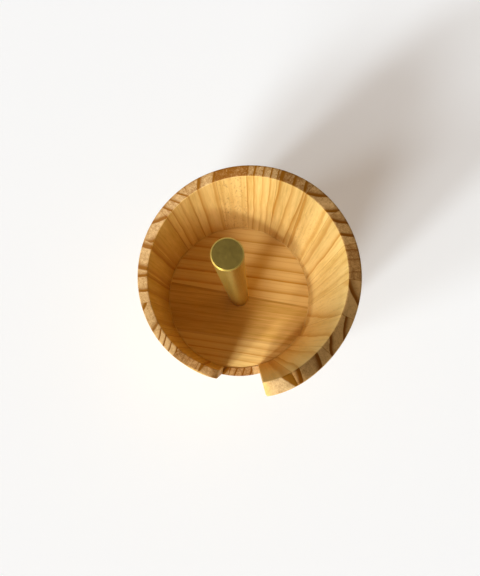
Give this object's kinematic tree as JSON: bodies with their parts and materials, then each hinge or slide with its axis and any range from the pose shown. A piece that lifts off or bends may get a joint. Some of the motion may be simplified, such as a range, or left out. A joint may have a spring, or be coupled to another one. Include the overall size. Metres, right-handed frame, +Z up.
{
  "type": "toilet roll holder",
  "caption": "Free-standing round wooden vessel with a spiral rim, a front finger slot and a central brass rod for stacking spare toilet rolls.",
  "frame": {"origin": "on the ground, on the rod's axis, under the middle of the vessel", "axes": "+Z up along the rod; -Y towards the finger slot; +X towards the vessel's tall side"},
  "size_m": [0.156, 0.156, 0.3415],
  "materials": {
    "stave_wood": "fine-sanded softwood, oiled, upright grain, end grain on the rim",
    "floor_wood": "fine-sanded softwood, oiled, grain across the floor",
    "brass": "satin brushed brass",
    "steel": "zinc-plated",
    "pad_rubber": "matt foam rubber"
  },
  "bodies": {
    "root": {"stave_01": "stave_wood", "stave_02": "stave_wood", "stave_03": "stave_wood", "stave_04": "stave_wood", "stave_05": "stave_wood", "stave_06": "stave_wood", "stave_07": "stave_wood", "stave_08": "stave_wood", "stave_09": "stave_wood", "stave_10": "stave_wood", "stave_11": "stave_wood", "stave_12": "stave_wood", "stave_13": "stave_wood", "stave_14": "stave_wood", "stave_15": "stave_wood", "stave_16": "stave_wood", "stave_17": "stave_wood", "stave_18": "stave_wood", "stave_19": "stave_wood", "stave_20": "stave_wood", "floor_board_front": "floor_wood", "floor_board_middle": "floor_wood", "floor_board_rear": "floor_wood", "rod_tube": "brass", "rod_cap": "brass", "rod_plug": "brass", "rod_screw": "steel", "rod_washer": "steel", "foot_pad_1": "pad_rubber", "foot_pad_2": "pad_rubber", "foot_pad_3": "pad_rubber", "foot_pad_4": "pad_rubber"}
  },
  "joints": []
}
